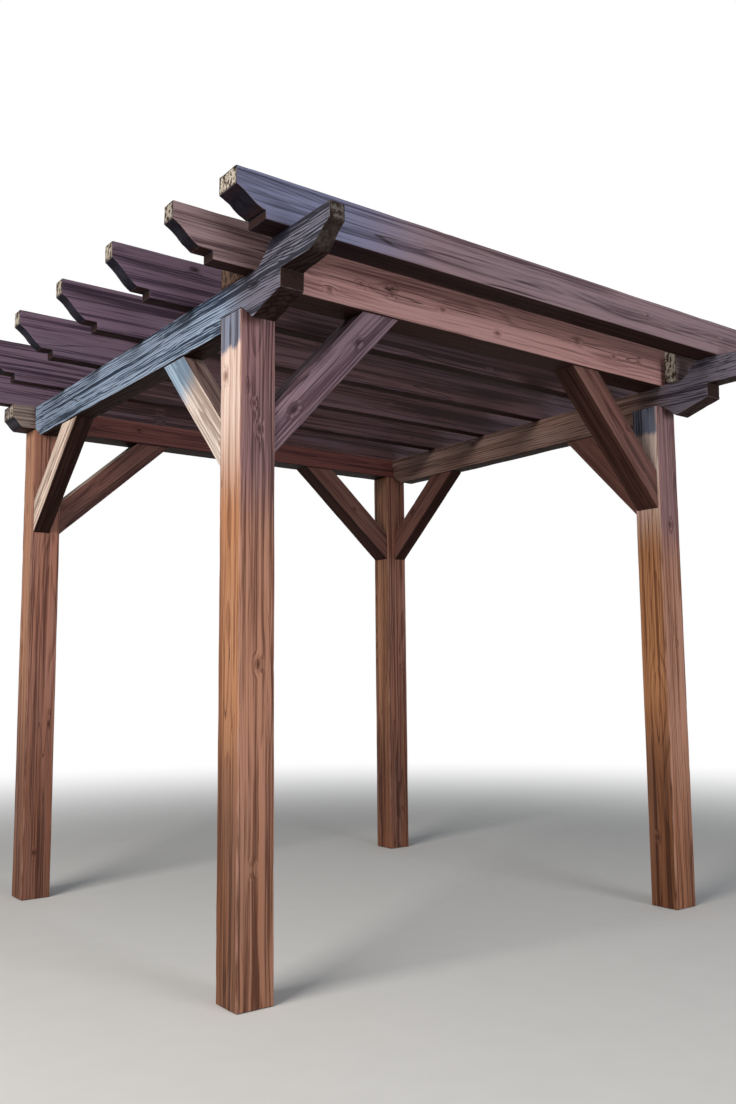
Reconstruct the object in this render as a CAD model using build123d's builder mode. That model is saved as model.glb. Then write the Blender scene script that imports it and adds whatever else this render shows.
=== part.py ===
from build123d import *
import os

os.makedirs("parts", exist_ok=True)

# Frame: X runs along the front, Y from front to back, Z up. The origin is on the floor,
# under the middle of the pergola's overall length and width. All sizes are in millimetres.

# Timber sections
post_side = 150
post_chamfer = 4
side_beam_width = 100
side_beam_depth = 170
front_beam_depth = 200
rafter_width = 70
rafter_depth = 190
first_rafter_width = 120
first_rafter_depth = 160
short_tail_depth = 175
brace_width = 130
side_brace_width = 90
brace_depth = 130

# Plan: distances between post centres, and how far members run past them
bay_width = 2390
bay_depth = 2205
side_beam_overhang = 645
back_beam_overhang = 195
first_rafter_overhang = 280
short_tail_overhang = 395
last_rafter_overhang = 505

# Heights and joints
bearing_height = 2400
front_head_housing = 60
back_head_housing = 50
housing_splay = 80

# Knee braces: run is level and rise is upright, both along the lower edge
front_side_run = 500
front_side_rise = 510
front_cross_run = 595
front_cross_rise = 632
back_side_run = 590
back_side_rise = 510
back_cross_run = 640
back_cross_rise = 560

# Rafters: the first is shorter and thicker and lies out on the raised tails. In the second
# place a short tail lies on each side beam, clear of the front beam, which fills the way between
# them. The rafters follow from there to the last, over the back beam, a little in front of its
# middle, and their tails grow evenly longer.
first_rafter_reach = 342
front_beam_clearance = 25
last_rafter_setback = 15
rafters_behind = 5

# Shaped ends: nose is the upright end face, then an S-curve, a flat and a small upright step.
# The side beams' tails also taper below, rise above, in the gap before the first rafter, and
# thin on their inner side from the step to the nose.
# bend is the radius of each half of an S-curve against the straight distance across both.
bend = 1.6
rafter_nose = 66
rafter_curve_run = 104
rafter_flat = 50
rafter_step = 32
first_rafter_flat = 10
side_nose = 60
side_nose_width = 62
side_curve_run = 124
side_flat = 176
side_step = 67
side_taper = 55
side_rise = 80
side_rise_run = 100
side_rise_clearance = 20
back_nose = 70
back_curve_run = 50

# Derived levels and faces
half_post = post_side / 2
side_top = bearing_height + side_beam_depth
front_head = bearing_height + front_head_housing
back_head = bearing_height + back_head_housing
lap_level = (back_head + side_top) / 2
overall_depth = side_beam_overhang + bay_depth + half_post
front_y = side_beam_overhang - overall_depth / 2
back_y = front_y + bay_depth
post_x = bay_width / 2
outer_x = post_x + half_post
inner_x = post_x - half_post
side_beam_x = outer_x - side_beam_width / 2
tail_top = side_top + side_rise
short_tail_y = front_y - half_post - front_beam_clearance - rafter_width / 2
last_rafter_y = back_y - last_rafter_setback
rafter_pitch = (last_rafter_y - short_tail_y) / rafters_behind
overhang_growth = (last_rafter_overhang - short_tail_overhang) / rafters_behind


def ogee(start, end):
    """Draw an S-curve whose first half bulges to the left of the way from start to end."""
    middle = ((start[0] + end[0]) / 2, (start[1] + end[1]) / 2)
    chord = ((end[0] - start[0]) ** 2 + (end[1] - start[1]) ** 2) ** 0.5
    RadiusArc(start, middle, bend * chord)
    RadiusArc(middle, end, -bend * chord)


def post(x, y, height):
    with BuildPart() as body:
        with BuildSketch(Plane.XY):
            with Locations((x, y)):
                Rectangle(post_side, post_side)
        extrude(amount=height)
        chamfer(body.edges().filter_by(Axis.Z), post_chamfer)
    return body


def side_beam(x_sign):
    """A beam from the raised tail in front to the half lap over the back beam."""
    inner_side = x_sign * (outer_x - side_beam_width)
    nose_side = x_sign * (outer_x - side_nose_width)
    tail_y = front_y - side_beam_overhang
    nose_low = (tail_y, tail_top - side_nose)
    curve_end = (tail_y + side_curve_run, bearing_height + side_taper + side_step)
    step_y = curve_end[0] + side_flat
    rise_low = (short_tail_y - rafter_width / 2 - side_rise_clearance, side_top)
    rise_high = (rise_low[0] - side_rise_run, tail_top)
    with BuildPart() as body:
        with BuildSketch(Plane.YZ.offset(x_sign * side_beam_x - side_beam_width / 2)):
            with BuildLine():
                Polyline(
                    rise_low,
                    (back_y + half_post, side_top),
                    (back_y + half_post, lap_level),
                    (back_y - half_post, lap_level),
                    (back_y - half_post, back_head),
                    (back_y - half_post - housing_splay, bearing_height),
                    (front_y + half_post, bearing_height),
                    (front_y + half_post, front_head),
                    (front_y - half_post, front_head),
                    (front_y - half_post - housing_splay, bearing_height),
                    (step_y, bearing_height + side_taper),
                    (step_y, curve_end[1]),
                    curve_end,
                )
                ogee(curve_end, nose_low)
                Polyline(nose_low, (tail_y, tail_top), rise_high)
                ogee(rise_low, rise_high)
            make_face()
        extrude(amount=side_beam_width)
        with BuildSketch(Plane.XY.offset(bearing_height)):
            with BuildLine():
                Polyline((inner_side, step_y), (inner_side, tail_y), (nose_side, tail_y), close=True)
            make_face()
        extrude(amount=tail_top - bearing_height, mode=Mode.SUBTRACT)
    return body


def front_beam():
    """The deep beam over the front posts; it lies on both side beams."""
    with BuildPart() as body:
        with BuildSketch(Plane.XY.offset(side_top)):
            with Locations((0, front_y)):
                Rectangle(2 * outer_x, post_side)
        extrude(amount=front_beam_depth)
    return body


def back_beam():
    """The beam on the back posts, notched from above for the side beams."""
    end_x = -post_x - back_beam_overhang
    nose_low = (end_x, side_top - back_nose)
    curve_end = (end_x + back_curve_run, back_head)
    with BuildPart() as body:
        with BuildSketch(Plane.XZ.offset(-back_y - half_post)):
            with BuildLine():
                Polyline(
                    (0, side_top),
                    (side_beam_width - outer_x, side_top),
                    (side_beam_width - outer_x, lap_level),
                    (-outer_x, lap_level),
                    (-outer_x, side_top),
                    (end_x, side_top),
                    nose_low,
                )
                ogee(curve_end, nose_low)
                Line(curve_end, (0, back_head))
                mirror(about=Plane.YZ)
            make_face()
        extrude(amount=post_side)
    return body


def tail_lines(inner_end, bottom, depth, overhang, flat):
    """Draw a rafter's lower edge, shaped left end and upper edge, from inner_end and back."""
    top = bottom + depth
    end_x = -post_x - overhang
    nose_low = (end_x, top - rafter_nose)
    curve_end = (end_x + rafter_curve_run, bottom + rafter_step)
    step_x = curve_end[0] + flat
    Polyline((inner_end, bottom), (step_x, bottom), (step_x, curve_end[1]), curve_end)
    ogee(curve_end, nose_low)
    Polyline(nose_low, (end_x, top), (inner_end, top))


def rafter(y, width, depth, bottom, overhang, flat):
    """A rafter with a shaped tail at each end."""
    with BuildPart() as body:
        with BuildSketch(Plane.XZ.offset(-y - width / 2)):
            with BuildLine():
                tail_lines(0, bottom, depth, overhang, flat)
                mirror(about=Plane.YZ)
            make_face()
        extrude(amount=width)
    return body


def short_tail(x_sign):
    """A short piece on a side beam that ends outside it like a rafter."""
    inner_end = side_beam_width - outer_x
    with BuildPart() as body:
        with BuildSketch(Plane.XZ.offset(-short_tail_y - rafter_width / 2)):
            with BuildLine():
                tail_lines(inner_end, side_top, short_tail_depth, short_tail_overhang, rafter_flat)
                Line((inner_end, side_top + short_tail_depth), (inner_end, side_top))
            make_face()
            if x_sign > 0:
                mirror(about=Plane.YZ, mode=Mode.REPLACE)
        extrude(amount=rafter_width)
    return body


def brace_outline(run, rise, top):
    """Outline of a brace from a post face at 0 up to the underside of a beam at top."""
    length = (run**2 + rise**2) ** 0.5
    foot = top - rise
    level_cut = brace_depth * length / rise
    upright_cut = brace_depth * length / run
    return [(0, foot), (run, top), (run - level_cut, top), (0, foot + upright_cut)]


def cross_brace(x_sign, y, run, rise, top):
    """A brace along X, centred on the posts' width."""
    points = [(x_sign * (inner_x - u), z) for u, z in brace_outline(run, rise, top)]
    with BuildPart() as body:
        with BuildSketch(Plane.XZ.offset(-y - brace_width / 2)):
            with BuildLine():
                Polyline(*points, close=True)
            make_face()
        extrude(amount=brace_width)
    return body


def side_brace(x_sign, post_y, y_sign, run, rise):
    """A brace along Y, centred under a side beam."""
    face_y = post_y + y_sign * half_post
    outline = brace_outline(run, rise, bearing_height)
    points = [(face_y + y_sign * u, z) for u, z in outline]
    with BuildPart() as body:
        with BuildSketch(Plane.YZ.offset(x_sign * side_beam_x - side_brace_width / 2)):
            with BuildLine():
                Polyline(*points, close=True)
            make_face()
        extrude(amount=side_brace_width)
    return body


def save(body, label):
    body.part.label = label
    export_step(body.part, f"parts/{label}.step")


for hand, sign in (("left", -1), ("right", 1)):
    save(post(sign * post_x, front_y, front_head), f"front_{hand}_post")
    save(post(sign * post_x, back_y, back_head), f"back_{hand}_post")
    save(side_beam(sign), f"{hand}_side_beam")
    save(
        cross_brace(sign, front_y, front_cross_run, front_cross_rise, side_top),
        f"front_{hand}_cross_brace",
    )
    save(
        cross_brace(sign, back_y, back_cross_run, back_cross_rise, back_head),
        f"back_{hand}_cross_brace",
    )
    save(
        side_brace(sign, front_y, 1, front_side_run, front_side_rise),
        f"front_{hand}_side_brace",
    )
    save(
        side_brace(sign, back_y, -1, back_side_run, back_side_rise),
        f"back_{hand}_side_brace",
    )
    save(short_tail(sign), f"{hand}_short_tail")

save(front_beam(), "front_beam")
save(back_beam(), "back_beam")
first_rafter = rafter(
    front_y - first_rafter_reach,
    first_rafter_width,
    first_rafter_depth,
    tail_top,
    first_rafter_overhang,
    first_rafter_flat,
)
save(first_rafter, "rafter_1")
for index in range(1, rafters_behind + 1):
    rafter_y = short_tail_y + index * rafter_pitch
    overhang = short_tail_overhang + index * overhang_growth
    body = rafter(rafter_y, rafter_width, rafter_depth, side_top, overhang, rafter_flat)
    save(body, f"rafter_{index + 1}")
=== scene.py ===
import math
import random

import bmesh
import bpy
import numpy as np
from mathutils import Matrix, Vector, kdtree, noise


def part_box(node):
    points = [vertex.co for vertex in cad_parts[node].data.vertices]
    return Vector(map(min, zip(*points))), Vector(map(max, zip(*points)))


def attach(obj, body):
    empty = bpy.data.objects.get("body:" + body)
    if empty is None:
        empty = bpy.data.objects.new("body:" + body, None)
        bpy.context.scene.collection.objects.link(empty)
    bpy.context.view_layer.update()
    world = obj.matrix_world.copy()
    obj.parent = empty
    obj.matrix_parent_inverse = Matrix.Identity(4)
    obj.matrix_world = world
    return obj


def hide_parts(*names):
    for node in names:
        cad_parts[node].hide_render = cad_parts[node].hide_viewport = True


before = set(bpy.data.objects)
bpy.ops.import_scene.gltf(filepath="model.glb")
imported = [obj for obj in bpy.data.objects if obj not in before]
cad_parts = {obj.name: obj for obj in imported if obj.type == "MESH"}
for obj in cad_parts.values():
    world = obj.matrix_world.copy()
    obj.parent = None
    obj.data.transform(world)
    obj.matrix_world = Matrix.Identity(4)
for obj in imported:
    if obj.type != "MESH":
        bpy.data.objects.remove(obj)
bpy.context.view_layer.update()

# Lengths are in metres, and a camera's lens and sensor in millimetres. A span is the two values
# between which an effect grows, and where four numbers are given, also its strength at each.

# Camera
EYE = Vector((-3.0433, -4.0164, 1.1383))
HEADING = math.radians(36.87)
PITCH = math.radians(6.751)
ROLL = math.radians(-0.5)
LENS = 33.11
SENSOR = 36.0
FARTHEST = 200.0

# Lamps: place, size, watts and colour. They are aimed at the middle of the frame.
LAMPS = {
    "key": ((-7.5, -2.2, 4.0), 4.0, 560, (1.0, 0.95, 0.88)),
    "fill": ((0.5, -8.0, 1.7), 2.8, 260, (0.93, 0.96, 1.0)),
}
LAMPS_AIM = (0.0, 0.0, 1.6)
WORLD_STRENGTH = 0.22

# Floor: just under the feet, white where it is far from them
FLOOR_SIZE = 60.0
FLOOR_LEVEL = -0.001
FLOOR_FADE = (2.6, 8.5)
FLOOR_SPECKS = 7.0

# Mesh detail
SAME_POINT = 2e-5
FLAT_ANGLE = math.radians(0.4)
SHARP_ANGLE = math.radians(25)
ARRIS_RADIUS = 0.0035
ARRIS_SAMPLE = 0.006
ARRIS_FARTHEST = 0.05
CUT_ALONG = 0.035
CUT_ACROSS = 0.012
CUT_SNAP = 1e-6

# Wear of the mesh: how far in from an arris it is rubbed, and how often along and across the
# timber the rubbing and the unevenness of the faces change
RUB_REACH = 0.012
RUB_BIAS = 0.15
RUB_PACE = (5.0, 24.0, 24.0)
CHIP_PACE = 2.7
CHIP_BIAS = -0.25
CHIP_GAIN = 1.8
WAVE_PACE = (1.5, 18.0, 18.0)
SEED_SHIFT = (1.7, 0.9, 2.3)

# First seed of each group of timbers
POST_SEED = 11
SIDE_BEAM_SEED = 31
FRONT_BEAM_SEED = 41
BACK_BEAM_SEED = 42
RAFTER_SEED = 50
SHORT_TAIL_SEED = 61
BRACE_SEED = 71


def hue(red, green, blue):
    """A shader colour from its three linear parts."""
    return (red, green, blue, 1.0)


# Patterns of noise: how often each repeats in a metre along and across the timber, its detail
# and, where it isn't the usual one, its roughness. Each timber's noise is moved within the room.
NOISE_ROOM = (-9, 9)
USUAL_ROUGHNESS = 0.55
PATTERNS = {
    "sway": ((0.9, 0.15, 0.15), 1.5),
    "second_sway": ((1.2, 0.15, 0.15), 1.5),
    "ripple": ((2.6, 22.0, 22.0), 2.0),
    "ring_pace": ((0.3, 14.0, 14.0), 1.0),
    "bend": ((2.2, 7.0, 7.0), 2.0),
    "band": ((0.55, 20.0, 20.0), 2.0),
    "streak": ((0.9, 62.0, 62.0), 3.0, 0.6),
    "fibre": ((4.5, 240.0, 240.0), 3.0, 0.6),
    "patch": ((0.8, 4.0, 4.0), 3.0, 0.5),
    "drift": ((0.9, 0.0, 0.0), 2.0),
    "break": ((5.0, 0.0, 0.0), 2.0),
    "ragged": ((3.0, 40.0, 40.0), 3.0),
    "worn": ((0.8, 9.0, 9.0), 4.0, 0.6),
    "crack": ((0.55, 13.0, 13.0), 1.0),
    "cracked": ((1.3, 6.0, 6.0), 1.0),
    "fleck": ((14.0, 60.0, 60.0), 4.0, 0.6),
    "pore": ((1.0, 70.0, 45.0), 3.0, 0.65),
    "edge": ((7.0, 60.0, 60.0), 3.0),
}

# Rings: how far the log's heart and the rings stray, and the darkness across one year's ring
HEART_STRAY = 0.085
RIPPLE_STRAY = 0.012
KNOT_STRAY = 0.004
PACE_STRAY = 0.02
SWAY_OFFSET = (3.1, 7.7, 1.3)
YEAR = [(0.0, 0.0), (0.45, 0.10), (0.86, 1.0), (0.95, 0.85), (1.0, 0.0)]
PITH_ROOM = (0.3, 0.4)

# Streaks: how far they flow round knots and bends, and what each kind takes from the tone where
# it is weakest and adds where it is strongest
BEND_STRAY = 0.02
KNOT_FLOW = 0.01
BAND_SPAN = (0.34, 0.66)
BAND_TONE = (-0.16, 0.30)
STREAK_SPAN = (0.30, 0.70)
STREAK_TONE = (-0.20, 0.56)
FINE_TONE = (0.30, 0.70, -0.12, 0.16)

# Knots: their stretch along the timber and how much of its thickness they reach into. Spans are
# of the distance from the heart over the radius.
KNOT_STRETCH = 1.6
KNOT_MERGE = 0.4
KNOT_REACH = 0.4
KNOT_DEPTH = 0.05
KNOT_RADII = (0.004, 0.009)
KNOT_PLACES = (0.1, 0.9)
KNOT_OFF_CENTRE = 0.34
KNOT_SWIRL = (0.8, 4.5, 1.0, 0.0)
KNOT_HEART = (0.62, 0.92, 1.0, 0.0)
KNOT_RIM_INSIDE = (0.70, 0.98)
KNOT_RIM_OUTSIDE = (1.02, 1.7, 1.0, 0.0)
KNOT_HALO = (0.9, 4.0, 0.42, 0.0)
HEART_GAIN = 0.80
RIM_GAIN = 0.42
HALO_SHADE = hue(0.50, 0.42, 0.40)
HEART_SHADE = hue(0.34, 0.24, 0.21)
RIM_SHADE = hue(0.26, 0.19, 0.17)

# Drying cracks: half their width in the noise that they follow, and where they are
CRACK_WIDTH = (0.0012, 0.0058, 1.0, 0.0)
CRACKED = (0.50, 0.58)
CRACKED_OFFSET = (5.0, 2.0, 8.0)
CRACK_GAIN = 0.85
CRACK_SHADE = hue(0.16, 0.12, 0.11)

# Shakes: the long cracks' half width, the pale lip above them, and how they break off
SHAKE_WIDTH = (0.0008, 0.0028, 1.0, 0.0)
SHAKE_FADE = 0.15
SHAKE_BREAK = (0.40, 0.52, 0.25, 1.0)
SHAKE_GAIN = 0.85
SHAKE_SHADE = hue(0.18, 0.13, 0.12)
LIP_HEIGHT = 0.0042
LIP_WIDTH = (0.0012, 0.0034, 1.0, 0.0)
LIP_GAIN = 0.55

# Which way a face looks: toward -X, up, down, and along the timber as sawn curves and square
# cuts do
TOWARD_LEFT = (0.45, 0.85)
TOWARD_SKY = (0.35, 0.9)
TOWARD_GROUND = (0.40, 0.85, 0.0, 0.92)
SAWN_CURVE = (0.28, 0.60, 0.0, 0.94)
SQUARE_CUT = (0.90, 0.97, 0.0, 0.95)
END_FACE = (0.8, 0.95)
END_DEPTHS = (0.004, 0.0015)

# Weather, the ragged edge of the layers, and shade painted on undersides, sawn curves and square
# cuts
RAGGED_REACH = 0.10
WORN_SPAN = (0.42, 0.68)
GREY_LIMIT = 1.1
UNDER_GRAIN = 0.6
DEEP_UNDERSIDE_SHADE = hue(0.012, 0.007, 0.006)
FLECK_SPAN = (0.36, 0.64, 0.0, 0.75)
FLECK_SHADE = hue(0.30, 0.26, 0.26)
SQUARE_CUT_SHADE = hue(0.030, 0.016, 0.014)

# Bare end wood: its pores, rings and darker border
PORE_SPAN = (0.47, 0.56)
PORE_DARK = hue(0.045, 0.032, 0.026)
END_RING_GAIN = 0.35
END_RING_SHADE = hue(0.62, 0.5, 0.36)
END_BORDER = (0.002, 0.012, 0.8, 0.0)
END_BORDER_SHADE = hue(0.2, 0.16, 0.14)

# Rubbed arrises
EDGE_STRAY = 0.006
EDGE_SPAN = (0.0035, 0.0075, 0.8, 0.0)
EDGE_BELOW = 0.5
EDGE_GREY = 0.3

# Relief: what each pattern adds to the height, and how strong the bump is
RING_RELIEF = -0.25
STREAK_RELIEF = -1.1
FIBRE_RELIEF = -0.5
CRACK_RELIEF = -1.6
RIM_RELIEF = -0.8
PORE_RELIEF = -1.4
BUMP_STRENGTH = 0.9

# Gloss: roughness, and the specular level of stained wood, which hidden faces nearly lose
ROUGHNESS = 0.50
FIBRE_ROUGHNESS = 0.2
GREY_ROUGHNESS = 0.18
SPECULAR = 0.18
HIDDEN_SPECULAR = -0.17

# Looks of the timbers. early and late are the pale and dark parts of the grain; grey is what
# they turn to in the weather, weather is how far all over and sky on what faces up. The
# underside colour is the shade painted on faces that look down, the curve colour the shade
# painted on the sawn curves, and tip the bare end wood. ring is the width of a year's ring and
# rings its strength; streaks, waves and relief are the strength of the streaks, their bends and
# the bump. fine is how close the streaks lie, and crisp the span of tones that is drawn out over
# the whole range. Each layer is a second pair of grain colours, most of them painted sunlight,
# shade and reflection: whether only faces toward -X, the side with the painted sun and its
# shadows, have it, its two colours, how strong it is, and where along the timber, from the
# middle, it starts and is full.
COMMON = dict(
    grey=hue(0.36, 0.28, 0.27), weather=0.15, sky=0.5, under=hue(0.050, 0.022, 0.017),
    curve=hue(0.017, 0.018, 0.029), tip=hue(0.20, 0.13, 0.10), ring=0.0085, rings=0.30,
    streaks=0.9, waves=0.3, fine=1.2, relief=0.0012, crisp=(0.08, 0.88), layers=(),
)
ALL_ALONG = (-9.0, -8.0)
SILVER_TAIL = (False, hue(0.148, 0.134, 0.180), hue(0.014, 0.013, 0.022), 0.95, -0.62, -0.92)
LOOKS = {
    "post": dict(
        early=hue(0.505, 0.236, 0.148), late=hue(0.145, 0.054, 0.031), streaks=1.0, waves=0.2,
        fine=1.85,
        layers=(
            # Darker and mauve towards the top
            (False, hue(0.268, 0.144, 0.160), hue(0.082, 0.038, 0.044), 0.85, 0.40, 0.75),
            # More orange and darker towards the foot
            (False, hue(0.400, 0.170, 0.090), hue(0.100, 0.034, 0.017), 0.85, -0.30, -0.90),
            # Painted sunlight: a warmer orange on faces toward -X, all along
            (True, hue(0.520, 0.232, 0.100), hue(0.185, 0.068, 0.028), 0.88, *ALL_ALONG),
            # Painted sunlight: a pale peach highlight high up on faces toward -X
            (True, hue(0.830, 0.665, 0.600), hue(0.500, 0.325, 0.265), 0.93, 0.52, 0.95),
            # Painted shadow: faces toward -X dark near the foot
            (True, hue(0.190, 0.072, 0.034), hue(0.055, 0.018, 0.009), 0.90, -0.05, -0.60),
            # Painted shadow: a blue-grey band at the head of faces toward -X
            (True, hue(0.180, 0.215, 0.305), hue(0.024, 0.029, 0.050), 0.95, 1.13, 1.16),
        ),
    ),
    # The back posts: the post's wood darkened as painted shade
    "shaded_post": dict(
        early=hue(0.390, 0.170, 0.115), late=hue(0.115, 0.042, 0.028), streaks=1.0, waves=0.2,
        fine=1.85,
        layers=(
            # Painted sunlight: a lighter orange on faces toward -X, all along
            (True, hue(0.440, 0.212, 0.118), hue(0.145, 0.056, 0.030), 0.85, *ALL_ALONG),
            # Darker towards the foot
            (False, hue(0.200, 0.076, 0.042), hue(0.058, 0.019, 0.011), 0.85, 0.05, -0.75),
        ),
    ),
    "silver": dict(
        early=hue(0.215, 0.150, 0.135), late=hue(0.065, 0.038, 0.034), weather=0.35, sky=0.8,
        grey=hue(0.24, 0.29, 0.37), under=hue(0.060, 0.030, 0.024),
        curve=hue(0.105, 0.084, 0.070), tip=hue(0.15, 0.13, 0.12), ring=0.0105, rings=0.66,
        streaks=0.95, waves=1.8, relief=0.0035, fine=1.3, crisp=(0.22, 0.64),
        layers=(
            # Weathered silver-grey on faces toward -X, with blue sky-lit shade painted in
            (True, hue(0.290, 0.370, 0.505), hue(0.009, 0.018, 0.038), 1.0, *ALL_ALONG),
            SILVER_TAIL,
        ),
    ),
    "brown_side": dict(
        early=hue(0.250, 0.155, 0.130), late=hue(0.075, 0.038, 0.032), weather=0.25, sky=0.8,
        grey=hue(0.30, 0.25, 0.25), under=hue(0.060, 0.030, 0.024),
        curve=hue(0.105, 0.084, 0.070), tip=hue(0.15, 0.13, 0.12), ring=0.0120, rings=0.5,
        waves=1.2, relief=0.0028,
        layers=(
            # Painted sunlight: faces toward -X lighter and warmer, all along
            (True, hue(0.360, 0.220, 0.175), hue(0.085, 0.042, 0.034), 0.9, *ALL_ALONG),
            SILVER_TAIL,
        ),
    ),
    "beam": dict(
        early=hue(0.560, 0.300, 0.275), late=hue(0.200, 0.090, 0.084),
        grey=hue(0.38, 0.29, 0.29), tip=hue(0.13, 0.08, 0.06), crisp=(0.02, 0.98),
    ),
    "back": dict(
        early=hue(0.175, 0.058, 0.049), late=hue(0.062, 0.018, 0.016),
        grey=hue(0.30, 0.20, 0.17), weather=0.05, sky=0.6, tip=hue(0.52, 0.46, 0.41),
        # Painted sunlight: a pale patch at the left end
        layers=((False, hue(0.420, 0.350, 0.310), hue(0.130, 0.098, 0.085), 0.85, -1.18, -1.26),),
    ),
    "brace": dict(
        early=hue(0.300, 0.185, 0.215), late=hue(0.080, 0.040, 0.053), weather=0.2,
        grey=hue(0.23, 0.20, 0.25), streaks=1.2,
    ),
    "pale_brace": dict(
        early=hue(0.230, 0.130, 0.110), late=hue(0.070, 0.034, 0.028), weather=0.1,
        ring=0.0090, streaks=1.0, waves=0.6, relief=0.0020,
        layers=(
            # Painted sunlight: a pale cream on faces toward -X, all along
            (True, hue(0.850, 0.730, 0.660), hue(0.320, 0.240, 0.200), 1.0, *ALL_ALONG),
            # Painted shadow: blue-grey towards the head of faces toward -X
            (True, hue(0.325, 0.440, 0.570), hue(0.140, 0.200, 0.275), 1.0, 0.06, 0.22),
        ),
    ),
    "tan_brace": dict(
        early=hue(0.150, 0.078, 0.064), late=hue(0.046, 0.020, 0.017), weather=0.1,
        ring=0.0090, streaks=1.1, waves=0.5, relief=0.0018,
        # Painted sunlight: a pale tan on faces toward -X, all along
        layers=((True, hue(0.830, 0.660, 0.555), hue(0.230, 0.150, 0.118), 1.0, *ALL_ALONG),),
    ),
    "dark_brace": dict(
        early=hue(0.195, 0.083, 0.066), late=hue(0.062, 0.022, 0.018), weather=0.08, sky=0.8,
        grey=hue(0.42, 0.33, 0.26),
    ),
    "rafter": dict(
        early=hue(0.225, 0.148, 0.212), late=hue(0.047, 0.027, 0.046), weather=0.25,
        grey=hue(0.16, 0.14, 0.20), tip=hue(0.46, 0.41, 0.35), streaks=1.1, waves=0.4,
        relief=0.0014,
        layers=(
            # Painted shade: dark from near the left side beam onwards, inside the frame
            (False, hue(0.115, 0.055, 0.052), hue(0.030, 0.012, 0.012), 0.90, -1.12, -0.95),
            # The right end, outside the painted shade, lighter again
            (False, hue(0.240, 0.155, 0.180), hue(0.050, 0.028, 0.038), 0.90, 1.20, 1.35),
        ),
    ),
    "short_tail": dict(
        early=hue(0.330, 0.215, 0.215), late=hue(0.085, 0.045, 0.050), weather=0.2,
        grey=hue(0.22, 0.18, 0.20), tip=hue(0.37, 0.335, 0.29), streaks=1.0, waves=0.5,
        relief=0.0014, crisp=(0.0, 1.0),
    ),
    "first_rafter": dict(
        early=hue(0.290, 0.190, 0.205), late=hue(0.066, 0.036, 0.046), weather=0.25,
        grey=hue(0.20, 0.17, 0.21), tip=hue(0.50, 0.45, 0.39), streaks=1.0, waves=0.4,
        relief=0.0014, crisp=(0.0, 1.0),
        # Painted reflection: a blue sky sheen on the left end
        layers=((False, hue(0.185, 0.210, 0.345), hue(0.050, 0.052, 0.092), 0.85, -0.50, -1.05),),
    ),
}

POST_LOOKS = {
    "front_left": "post",
    "front_right": "post",
    "back_left": "shaded_post",
    "back_right": "shaded_post",
}
SIDE_BEAM_LOOKS = {"left": "silver", "right": "brown_side"}
BRACE_LOOKS = {
    "front_left_cross": "brace",
    "front_left_side": "pale_brace",
    "front_right_cross": "dark_brace",
    "front_right_side": "dark_brace",
    "back_left_cross": "dark_brace",
    "back_left_side": "tan_brace",
    "back_right_cross": "dark_brace",
    "back_right_side": "dark_brace",
}
RAFTER_COUNT = 6
SIDE_BEAM_PITH = (0.03, 0.26)

# Long cracks that follow one level of a timber: the distance above its middle, how far each
# strays and the half length that it covers
FRONT_BEAM_SHAKES = [(0.004, 0.034, 0.98)]
# Knots that show in the front beam: along it, above its middle, and their radius
FRONT_BEAM_KNOTS = [
    (-0.876, -0.050, 0.0075), (-0.722, 0.003, 0.0065), (-0.563, 0.023, 0.0060),
    (-0.294, -0.011, 0.0070), (0.025, -0.049, 0.0065), (0.546, 0.013, 0.0095),
    (0.809, -0.012, 0.0070),
]
# Knots that show in the near post and in its brace along the front: centre from the timber's
# middle, radius, the axis that they run along, and how deep
NEAR_POST_KNOTS = [
    ((1.00, 0.026, 0.075), 0.0080, 2, KNOT_DEPTH),
    ((0.883, -0.075, 0.014), 0.0055, 1, KNOT_DEPTH),
    ((0.79, -0.075, -0.004), 0.0075, 1, KNOT_DEPTH),
    ((-0.06, -0.075, -0.004), 0.0080, 1, KNOT_DEPTH),
]
CROSS_BRACE_KNOTS = [
    ((0.194, -0.065, -0.005), 0.0070, 1, KNOT_DEPTH),
    ((-0.244, -0.065, -0.005), 0.0085, 1, KNOT_DEPTH),
]


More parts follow.
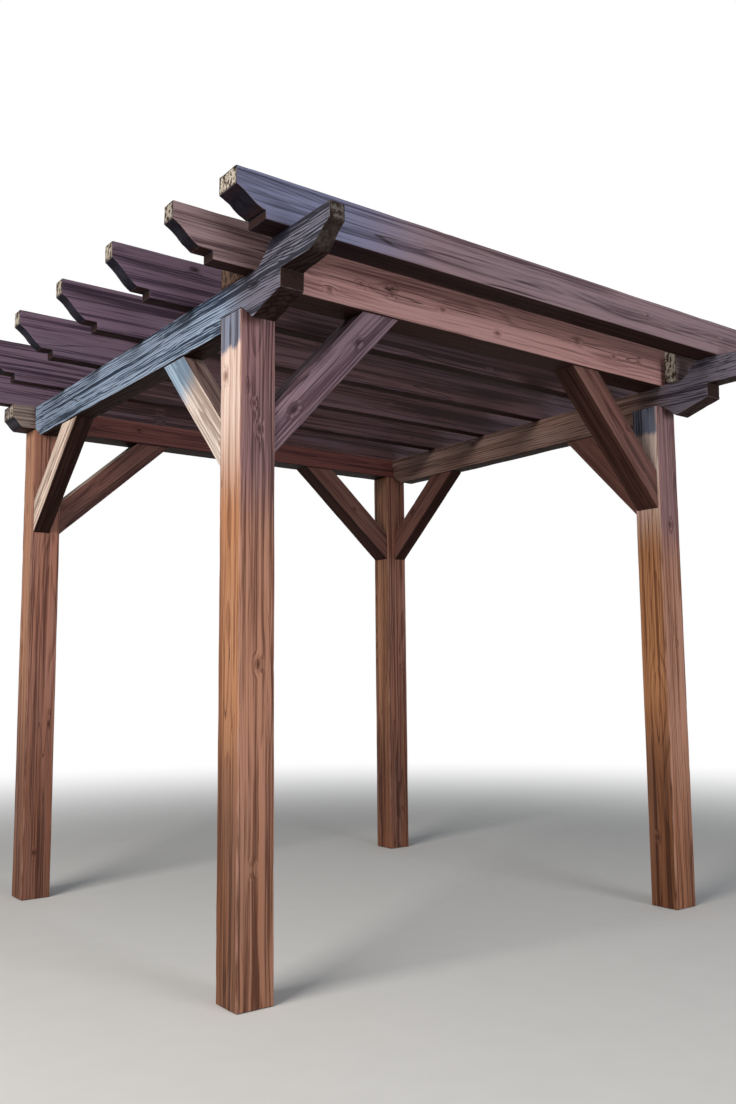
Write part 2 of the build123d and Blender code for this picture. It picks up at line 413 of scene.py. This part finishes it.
class Graph:
    """Short calls that add and link shader nodes of one material or world."""

    def __init__(self, owner):
        owner.use_nodes = True
        self.tree = owner.node_tree
        self.tree.nodes.clear()

    def add(self, kind, values=None, **settings):
        node = self.tree.nodes.new("ShaderNode" + kind)
        for key, value in settings.items():
            setattr(node, key, value)
        for key, value in (values or {}).items():
            self.put(node.inputs[key], value)
        return node

    def put(self, socket, value):
        if isinstance(value, bpy.types.NodeSocket):
            self.tree.links.new(value, socket)
        else:
            socket.default_value = value

    def math(self, operation, *values, clamp=False):
        node = self.add("Math", operation=operation, use_clamp=clamp)
        for socket, value in zip(node.inputs, values):
            self.put(socket, value)
        return node.outputs[0]

    def times(self, first, second):
        return self.math("MULTIPLY", first, second)

    def plus_times(self, start, value, factor, clamp=False):
        """start with value times factor added."""
        return self.math("MULTIPLY_ADD", value, factor, start, clamp=clamp)

    def rest(self, value, whole=1.0):
        """What value leaves of the whole."""
        return self.math("SUBTRACT", whole, value)

    def vector(self, operation, *values):
        node = self.add("VectorMath", operation=operation)
        for socket, value in zip(node.inputs, values):
            self.put(socket, value)
        return node.outputs["Value" if operation == "LENGTH" else "Vector"]

    def joined(self, x, y, z):
        return self.add("CombineXYZ", {"X": x, "Y": y, "Z": z}).outputs[0]

    def parts(self, vector):
        return self.add("SeparateXYZ", {"Vector": vector}).outputs

    def noise(self, vector, scale, detail, roughness=USUAL_ROUGHNESS):
        values = {"Vector": vector, "Scale": scale, "Detail": detail, "Roughness": roughness}
        return self.add("TexNoise", values).outputs["Fac"]

    def pattern(self, name, place, fine=1.0):
        """One of PATTERNS at place, where fine makes it that much closer across the timber."""
        pace, *texture = PATTERNS[name]
        pace = (pace[0], pace[1] * fine, pace[2] * fine)
        return self.noise(self.vector("MULTIPLY", place, pace), 1.0, *texture)

    def step(self, value, low, high, floor=0.0, ceiling=1.0):
        """A smooth step from floor at low to ceiling at high."""
        values = {
            "Value": value,
            "From Min": low,
            "From Max": high,
            "To Min": floor,
            "To Max": ceiling,
        }
        node = self.add("MapRange", values, interpolation_type="SMOOTHSTEP")
        return node.outputs["Result"]

    def mix(self, factor, first, second, way):
        node = self.add("Mix", data_type="RGBA", blend_type=way)
        colour_sockets = (node.inputs[0], node.inputs[6], node.inputs[7])
        for socket, value in zip(colour_sockets, (factor, first, second)):
            self.put(socket, value)
        return node.outputs[2]

    def blend(self, factor, first, second):
        return self.mix(factor, first, second, "MIX")

    def shade(self, factor, colour, dark):
        """Colour multiplied towards dark by factor."""
        return self.mix(factor, colour, dark, "MULTIPLY")

    def ramp(self, value, stops):
        node = self.add("ValToRGB", {"Fac": value})
        elements = node.color_ramp.elements
        while len(elements) < len(stops):
            elements.new(0.5)
        for element, (position, level) in zip(elements, stops):
            element.position = position
            element.color = hue(level, level, level)
        return node.outputs["Color"]


def knot_field(g, place, knots):
    """Distance to the nearest knot, where 1 is its edge. Each starts at one face."""
    nearest = None
    for centre, radius, through, depth in knots:
        sizes = [1 / (radius * KNOT_STRETCH), 1 / radius, 1 / radius]
        sizes[through] = 1 / depth
        offset = g.vector("SUBTRACT", place, centre)
        away = g.vector("LENGTH", g.vector("MULTIPLY", offset, sizes))
        nearest = away if nearest is None else g.math("SMOOTH_MIN", nearest, away, KNOT_MERGE)
    return nearest


def pick_knots(rng, size, count):
    """Knots spread along a timber, each in one of its four long faces."""
    knots = []
    for index in range(count):
        along = (index + rng.uniform(*KNOT_PLACES)) / count - 0.5
        through = rng.choice((1, 2))
        aside = 3 - through
        centre = [along * size[0], 0.0, 0.0]
        centre[through] = rng.choice((-0.5, 0.5)) * size[through]
        centre[aside] = rng.uniform(-KNOT_OFF_CENTRE, KNOT_OFF_CENTRE) * size[aside]
        radius = rng.uniform(*KNOT_RADII)
        knots.append((tuple(centre), radius, through, KNOT_REACH * size[through]))
    return knots


def ring_level(g, moved, split, around_knot, look, pith):
    """How dark the year's ring is at each point, from 0 to 1."""
    second = g.vector("ADD", moved, SWAY_OFFSET)
    sways = {"Y": g.pattern("sway", moved), "Z": g.pattern("second_sway", second)}
    across = [
        g.plus_times(g.math("SUBTRACT", split[axis], heart), g.math("SUBTRACT", sway, 0.5),
                     HEART_STRAY)
        for (axis, sway), heart in zip(sways.items(), pith)
    ]
    radius = g.vector("LENGTH", g.joined(0.0, *across))
    ripple_stray = RIPPLE_STRAY * (0.5 + look["waves"])
    radius = g.plus_times(radius, g.pattern("ripple", moved), ripple_stray)
    radius = g.plus_times(radius, around_knot, KNOT_STRAY)
    radius = g.plus_times(radius, g.pattern("ring_pace", moved), PACE_STRAY)
    return g.ramp(g.math("FRACT", g.math("DIVIDE", radius, look["ring"])), YEAR)


def grain_tone(g, moved, split, knot, look, pith):
    """How dark the grain is at each point, from 0 to 1, and its parts used for relief."""
    around_knot = g.step(knot, *KNOT_SWIRL)
    ring = ring_level(g, moved, split, around_knot, look, pith)

    bent = g.pattern("bend", moved)
    bent = g.joined(0.0, bent, g.rest(bent))
    stray = BEND_STRAY * look["waves"]
    flow = g.vector("ADD", moved, g.vector("MULTIPLY", bent, (0.0, stray, stray)))
    swirl = g.joined(0.0, g.times(around_knot, KNOT_FLOW), g.times(around_knot, -KNOT_FLOW))
    flow = g.vector("ADD", flow, swirl)
    band = g.pattern("band", flow, look["fine"])
    streak = g.pattern("streak", flow, look["fine"])
    fibre = g.pattern("fibre", flow)
    patch = g.pattern("patch", moved)

    tone = g.times(ring, look["rings"])
    streaks = ((band, BAND_SPAN, BAND_TONE), (streak, STREAK_SPAN, STREAK_TONE))
    for value, span, (least, most) in streaks:
        gain = look["streaks"]
        tone = g.math("ADD", tone, g.step(value, *span, least * gain, most * gain))
    tone = g.math("ADD", tone, g.step(fibre, *FINE_TONE))
    tone = g.math("ADD", tone, g.step(patch, *FINE_TONE), clamp=True)
    return g.step(tone, *look["crisp"]), ring, streak, fibre


def shake_line(g, moved, split, shakes):
    """How strong the long cracks are at each point, and how strong the pale lip above them."""
    line, lip = 0.0, 0.0
    for level, stray, reach in shakes:
        drift = g.times(g.math("SUBTRACT", g.pattern("drift", moved), 0.5), stray)
        away = g.math("SUBTRACT", g.math("ADD", split["Z"], drift), level)
        above = g.math("ABSOLUTE", g.math("SUBTRACT", away, LIP_HEIGHT))
        inside = g.math("ABSOLUTE", split["X"])
        inside = g.step(inside, reach, reach + SHAKE_FADE, 1.0, 0.0)
        there = g.times(inside, g.step(g.pattern("break", moved), *SHAKE_BREAK))
        near = g.step(g.math("ABSOLUTE", away), *SHAKE_WIDTH)
        line = g.math("MAXIMUM", line, g.times(near, there))
        lip = g.math("MAXIMUM", lip, g.times(g.step(above, *LIP_WIDTH), there))
    return line, lip


def layered_colour(g, moved, split, outward, tone, look):
    """The grain's colours, with each layer where it belongs; most are painted sunlight, shade and
    reflection.
    """
    colour = g.blend(tone, look["early"], look["late"])
    ragged_x = g.plus_times(split["X"], g.pattern("ragged", moved), RAGGED_REACH)
    # Faces toward -X are the side that gets the painted sun and its painted shadows
    toward_left = g.step(g.times(outward["X"], -1.0), *TOWARD_LEFT)
    for one_side, early, late, gain, start, full in look["layers"]:
        if start < full:
            there = g.step(ragged_x, start, full, 0.0, gain)
        else:
            there = g.step(ragged_x, full, start, gain, 0.0)
        if one_side:
            there = g.times(there, toward_left)
        colour = g.blend(there, colour, g.blend(tone, early, late))
    return colour


def timber_material(name, look, size, seed, knots, spots, shakes, pith):
    """Softwood sawn from a log: rings, fibres, knots, drying cracks and a worn stain, with painted
    sunlight, shade and reflection.
    """
    rng = random.Random(seed)
    look = COMMON | LOOKS[look]
    material = bpy.data.materials.new(name)
    g = Graph(material)
    coordinates = g.add("TexCoord").outputs
    place = coordinates["Object"]
    split = g.parts(place)
    moved = g.vector("ADD", place, tuple(rng.uniform(*NOISE_ROOM) for _ in range(3)))
    if pith is None:
        pith = tuple(rng.uniform(-r, r) * side for r, side in zip(PITH_ROOM, size[1:]))
    knot = knot_field(g, place, pick_knots(rng, size, knots) + list(spots))
    tone, ring, streak, fibre = grain_tone(g, moved, split, knot, look, pith)
    outward = g.parts(g.add("NewGeometry").outputs["Normal"])
    colour = layered_colour(g, moved, split, outward, tone, look)

    # Weather: greyer in streaks everywhere, and most on what faces the sky
    sky = g.step(outward["Z"], *TOWARD_SKY, 0.0, look["sky"])
    worn = g.step(g.pattern("worn", moved), *WORN_SPAN, 0.0, look["weather"])
    grey = g.times(g.math("MAXIMUM", worn, sky), g.rest(tone, GREY_LIMIT))
    colour = g.blend(grey, colour, look["grey"])

    # Knots: a brown heart with a darker rim, and a soft shade round it
    heart = g.step(knot, *KNOT_HEART)
    rim = g.times(g.step(knot, *KNOT_RIM_INSIDE), g.step(knot, *KNOT_RIM_OUTSIDE))
    colour = g.shade(g.step(knot, *KNOT_HALO), colour, HALO_SHADE)
    colour = g.shade(g.times(heart, HEART_GAIN), colour, HEART_SHADE)
    colour = g.shade(g.times(rim, RIM_GAIN), colour, RIM_SHADE)

    # Drying cracks, thin and long, along the grain
    crack = g.math("ABSOLUTE", g.math("SUBTRACT", g.pattern("crack", moved), 0.5))
    cracked = g.pattern("cracked", g.vector("ADD", moved, CRACKED_OFFSET))
    crack = g.times(g.step(crack, *CRACK_WIDTH), g.step(cracked, *CRACKED))
    colour = g.shade(g.times(crack, CRACK_GAIN), colour, CRACK_SHADE)
    if shakes:
        line, lip = shake_line(g, moved, split, shakes)
        colour = g.blend(g.times(lip, LIP_GAIN), colour, look["early"])
        colour = g.shade(g.times(line, SHAKE_GAIN), colour, SHAKE_SHADE)
        crack = g.math("MAXIMUM", crack, line)

    # Shade painted on faces that look down, on the sawn curves and on the square cuts
    down = g.step(g.times(outward["Z"], -1.0), *TOWARD_GROUND)
    under = g.blend(g.times(tone, UNDER_GRAIN), look["under"], DEEP_UNDERSIDE_SHADE)
    colour = g.blend(down, colour, under)
    facing = g.math("ABSOLUTE", g.parts(coordinates["Normal"])["X"])
    curve = g.shade(g.step(g.pattern("fleck", moved), *FLECK_SPAN), look["curve"], FLECK_SHADE)
    colour = g.blend(g.step(facing, *SAWN_CURVE), colour, curve)
    square = g.step(facing, *SQUARE_CUT)
    colour = g.blend(square, colour, SQUARE_CUT_SHADE)

    # The timber's own ends show bare wood
    outer, inner = (size[0] / 2 - depth for depth in END_DEPTHS)
    tip = g.step(g.math("ABSOLUTE", split["X"]), outer, inner)
    tip = g.times(tip, g.step(facing, *END_FACE))
    pore = g.pattern("pore", moved)
    bare = g.blend(g.step(pore, *PORE_SPAN), look["tip"], PORE_DARK)
    bare = g.shade(g.times(ring, END_RING_GAIN), bare, END_RING_SHADE)
    arris = g.add("Attribute", attribute_name="arris").outputs["Fac"]
    bare = g.shade(g.step(arris, *END_BORDER), bare, END_BORDER_SHADE)
    colour = g.blend(tip, colour, bare)

    # Arrises rubbed paler in an uneven line
    edge = g.step(g.plus_times(arris, g.pattern("edge", moved), EDGE_STRAY), *EDGE_SPAN)
    edge = g.times(edge, g.rest(g.math("MAXIMUM", tip, facing)))
    edge = g.times(edge, g.rest(g.times(down, EDGE_BELOW)))
    colour = g.blend(edge, colour, g.blend(EDGE_GREY, look["early"], look["grey"]))

    height = g.math("ADD", g.times(ring, RING_RELIEF), g.times(streak, STREAK_RELIEF))
    height = g.plus_times(height, fibre, FIBRE_RELIEF)
    height = g.plus_times(height, crack, CRACK_RELIEF)
    height = g.plus_times(height, rim, RIM_RELIEF)
    height = g.plus_times(height, g.times(tip, pore), PORE_RELIEF)
    bump = {"Strength": BUMP_STRENGTH, "Distance": look["relief"], "Height": height}
    roughness = g.plus_times(ROUGHNESS, fibre, FIBRE_ROUGHNESS)
    hidden = g.math("MAXIMUM", down, square)
    surface = g.add("BsdfPrincipled", {
        "Base Color": colour,
        "Roughness": g.plus_times(roughness, grey, GREY_ROUGHNESS, clamp=True),
        "Specular IOR Level": g.plus_times(SPECULAR, hidden, HIDDEN_SPECULAR),
        "Normal": g.add("Bump", bump).outputs[0],
    })
    g.add("OutputMaterial", {"Surface": surface.outputs[0]})
    return material


def plain_solid(node):
    """The node's solid with its corners joined and each flat face whole."""
    solid = bmesh.new()
    solid.from_mesh(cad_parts[node].data)
    bmesh.ops.remove_doubles(solid, verts=solid.verts, dist=SAME_POINT)
    bmesh.ops.dissolve_limit(
        solid, angle_limit=FLAT_ANGLE, verts=solid.verts, edges=solid.edges,
    )
    return solid


def convex_arrises(solid):
    return [
        edge for edge in solid.edges
        if len(edge.link_faces) == 2 and edge.calc_face_angle(0.0) > SHARP_ANGLE and edge.is_convex
    ]


def arris_tree(arrises):
    """Search tree of points along the arrises."""
    points = []
    for edge in arrises:
        a, b = (v.co.copy() for v in edge.verts)
        count = max(2, int((b - a).length / ARRIS_SAMPLE))
        points += [a.lerp(b, i / count) for i in range(count + 1)]
    tree = kdtree.KDTree(len(points))
    for index, point in enumerate(points):
        tree.insert(point, index)
    tree.balance()
    return tree


def extents(verts):
    """Lowest and highest coordinates of the vertices."""
    spread = np.array([v.co for v in verts])
    return spread.min(0), spread.max(0)


def cut_across(solid, axis, step):
    """Cut all faces by evenly spaced planes square to one local axis."""
    values = [v.co[axis] for v in solid.verts]
    low, high = min(values), max(values)
    count = max(1, round((high - low) / step))
    normal = Vector((0.0, 0.0, 0.0))
    normal[axis] = 1.0
    for index in range(1, count):
        level = low + (high - low) * index / count
        faces = []
        for face in solid.faces:
            ends = [v.co[axis] for v in face.verts]
            if max(ends) > level > min(ends):
                faces.append(face)
        edges = dict.fromkeys(e for f in faces for e in f.edges)
        verts = dict.fromkeys(v for f in faces for v in f.verts)
        bmesh.ops.bisect_plane(
            solid,
            geom=[*verts, *edges, *faces],
            dist=CUT_SNAP,
            plane_co=normal * level,
            plane_no=normal,
        )


def stretched(point, factors):
    return Vector([c * factor for c, factor in zip(point, factors)])


def wear(solid, tree, seed, rub, wave):
    """Rub the arrises unevenly and make the faces slightly uneven, inwards only."""
    shift = Vector([seed * part for part in SEED_SHIFT])
    solid.normal_update()
    moves = []
    for vertex in solid.verts:
        near = tree.find(vertex.co)[2]
        spot = stretched(vertex.co, RUB_PACE) + shift
        rubbed = max(0.0, noise.noise(spot) + RUB_BIAS)
        chipped = max(0.0, noise.noise(spot * CHIP_PACE) + CHIP_BIAS) * CHIP_GAIN
        close = max(0.0, 1.0 - near / RUB_REACH)
        spot = stretched(vertex.co, WAVE_PACE) - shift
        uneven = 0.5 + 0.5 * noise.noise(spot)
        depth = rub * close * (rubbed + chipped) + wave * uneven
        moves.append(vertex.normal * depth)
    for vertex, move in zip(solid.verts, moves):
        vertex.co -= move


def dress(node, along, look, seed, knots, spots=(), shakes=(), pith=None,
          rub=0.0022, wave=0.0004):
    """A detailed timber that stands for a node, with its local X along the grain."""
    solid = plain_solid(node)
    along = Vector(along).normalized()
    across = Vector((0, 1, 0)) if abs(along.y) < 0.1 else Vector((1, 0, 0))
    third = along.cross(across)
    turn = Matrix((along, across, third)).transposed().to_4x4()
    bmesh.ops.transform(solid, matrix=turn.inverted(), verts=solid.verts)
    low, high = extents(solid.verts)
    middle = Vector((low + high) / 2)
    bmesh.ops.translate(solid, vec=-middle, verts=solid.verts)
    arrises = convex_arrises(solid)
    tree = arris_tree(arrises)
    bmesh.ops.bevel(
        solid, geom=arrises, offset=ARRIS_RADIUS, segments=2, profile=0.5,
        affect="EDGES", clamp_overlap=True,
    )
    for axis, step in enumerate((CUT_ALONG, CUT_ACROSS, CUT_ACROSS)):
        cut_across(solid, axis, step)
    wear(solid, tree, seed, rub, wave)

    mesh = bpy.data.meshes.new(node + "_timber")
    solid.to_mesh(mesh)
    solid.free()
    distance = [min(tree.find(v.co)[2], ARRIS_FARTHEST) for v in mesh.vertices]
    mesh.attributes.new("arris", "FLOAT", "POINT").data.foreach_set("value", distance)
    mesh.shade_smooth()
    low, high = extents(mesh.vertices)
    size = tuple(float(s) for s in high - low)

    piece = bpy.data.objects.new(node + "_timber", mesh)
    bpy.context.scene.collection.objects.link(piece)
    piece.matrix_world = turn @ Matrix.Translation(middle)
    piece.modifiers.new("crisp_faces", "WEIGHTED_NORMAL")
    wood = timber_material(node + "_wood", look, size, seed, knots, spots, shakes, pith)
    mesh.materials.append(wood)
    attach(piece, "root")
    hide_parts(node)


def brace_way(node, plan):
    """The unit direction of a brace: plan is the way it leans from its foot to its head."""
    low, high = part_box(node)
    size = high - low
    return Vector((plan[0] * size.x, plan[1] * size.y, size.z)).normalized()


def build_posts():
    for index, (name, look) in enumerate(POST_LOOKS.items()):
        spots = NEAR_POST_KNOTS if name == "front_left" else ()
        dress(name + "_post", (0, 0, 1), look, POST_SEED + index, knots=3,
              spots=spots, wave=0.0005)


def build_beams():
    for index, (hand, look) in enumerate(SIDE_BEAM_LOOKS.items()):
        dress(hand + "_side_beam", (0, 1, 0), look, SIDE_BEAM_SEED + index,
              knots=4, pith=SIDE_BEAM_PITH, rub=0.0045, wave=0.0012)
    low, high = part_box("front_beam")
    face = (low.y - high.y) / 2
    spots = [((x, face, z), radius, 1, KNOT_DEPTH) for x, z, radius in FRONT_BEAM_KNOTS]
    dress("front_beam", (1, 0, 0), "beam", FRONT_BEAM_SEED, knots=4,
          spots=spots, shakes=FRONT_BEAM_SHAKES)
    dress("back_beam", (1, 0, 0), "back", BACK_BEAM_SEED, knots=5)


def build_rafters():
    for index in range(1, RAFTER_COUNT + 1):
        look = "first_rafter" if index == 1 else "rafter"
        dress(f"rafter_{index}", (1, 0, 0), look, RAFTER_SEED + index, knots=4)
    for index, hand in enumerate(("left", "right")):
        dress(hand + "_short_tail", (1, 0, 0), "short_tail",
              SHORT_TAIL_SEED + index, knots=1)


def build_braces():
    for index, (name, look) in enumerate(BRACE_LOOKS.items()):
        end, hand, kind = name.split("_")
        node = name + "_brace"
        inward = 1 if hand == "left" else -1
        backward = 1 if end == "front" else -1
        plan = (inward, 0) if kind == "cross" else (0, backward)
        spots = CROSS_BRACE_KNOTS if name == "front_left_cross" else ()
        dress(node, brace_way(node, plan), look, BRACE_SEED + index, knots=1,
              spots=spots)


def seen_directly(g):
    """1 for rays that show the surroundings: from the camera, reflected or through glass."""
    path = g.add("LightPath").outputs
    shown = g.math("MAXIMUM", path["Is Camera Ray"], path["Is Transmission Ray"])
    return g.math("MAXIMUM", shown, path["Is Glossy Ray"])


def build_floor():
    bpy.ops.mesh.primitive_grid_add(
        x_subdivisions=2, y_subdivisions=2, size=FLOOR_SIZE, location=(0, 0, FLOOR_LEVEL),
    )
    floor = bpy.context.object
    floor.name = "floor"
    material = bpy.data.materials.new("pale_floor")
    g = Graph(material)
    place = g.add("NewGeometry").outputs["Position"]
    far = g.step(g.vector("LENGTH", place), *FLOOR_FADE)
    specks = g.noise(place, FLOOR_SPECKS, 4.0)
    colour = g.blend(specks, hue(0.74, 0.735, 0.725), hue(0.79, 0.785, 0.775))
    matte = g.add("BsdfDiffuse", {"Color": colour})
    dim = g.add("BsdfDiffuse", {"Color": hue(0.16, 0.157, 0.153)})
    glow = g.add("Emission", {"Color": hue(1, 1, 1), "Strength": 1.0})
    seen = g.add("MixShader", {0: far, 1: matte.outputs[0], 2: glow.outputs[0]})
    mixed = g.add("MixShader", {0: seen_directly(g), 1: dim.outputs[0], 2: seen.outputs[0]})
    g.add("OutputMaterial", {"Surface": mixed.outputs[0]})
    floor.data.materials.append(material)


def build_world():
    world = bpy.data.worlds.new("studio")
    bpy.context.scene.world = world
    g = Graph(world)
    lit = g.add("Background", {"Color": hue(0.90, 0.95, 1.0), "Strength": WORLD_STRENGTH})
    white = g.add("Background", {"Color": hue(1, 1, 1), "Strength": 1.0})
    mixed = g.add("MixShader", {0: seen_directly(g), 1: lit.outputs[0], 2: white.outputs[0]})
    g.add("OutputWorld", {"Surface": mixed.outputs[0]})


def build_lamps():
    for name, (place, size, energy, colour) in LAMPS.items():
        data = bpy.data.lights.new(name, "AREA")
        data.shape = "SQUARE"
        data.size = size
        data.energy = energy
        data.color = colour
        lamp = bpy.data.objects.new(name, data)
        bpy.context.scene.collection.objects.link(lamp)
        lamp.location = place
        lamp.visible_camera = False
        way = Vector(LAMPS_AIM) - lamp.location
        lamp.rotation_euler = way.to_track_quat("-Z", "Y").to_euler()


def build_camera():
    data = bpy.data.cameras.new("camera")
    data.sensor_width = SENSOR
    data.sensor_fit = "AUTO"
    data.lens = LENS
    data.clip_end = FARTHEST
    camera = bpy.data.objects.new("camera", data)
    bpy.context.scene.collection.objects.link(camera)
    level = Vector((math.sin(HEADING), math.cos(HEADING), 0.0))
    side = Vector((math.cos(HEADING), -math.sin(HEADING), 0.0))
    up = Vector((0.0, 0.0, 1.0))
    ahead = level * math.cos(PITCH) + up * math.sin(PITCH)
    above = up * math.cos(PITCH) - level * math.sin(PITCH)
    right = side * math.cos(ROLL) + above * math.sin(ROLL)
    top = above * math.cos(ROLL) - side * math.sin(ROLL)
    camera.matrix_world = Matrix((right, top, -ahead)).transposed().to_4x4()
    camera.location = EYE
    bpy.context.scene.camera = camera


build_posts()
build_beams()
build_rafters()
build_braces()
build_floor()
build_world()
build_lamps()
build_camera()
bpy.context.scene.view_settings.view_transform = "Standard"
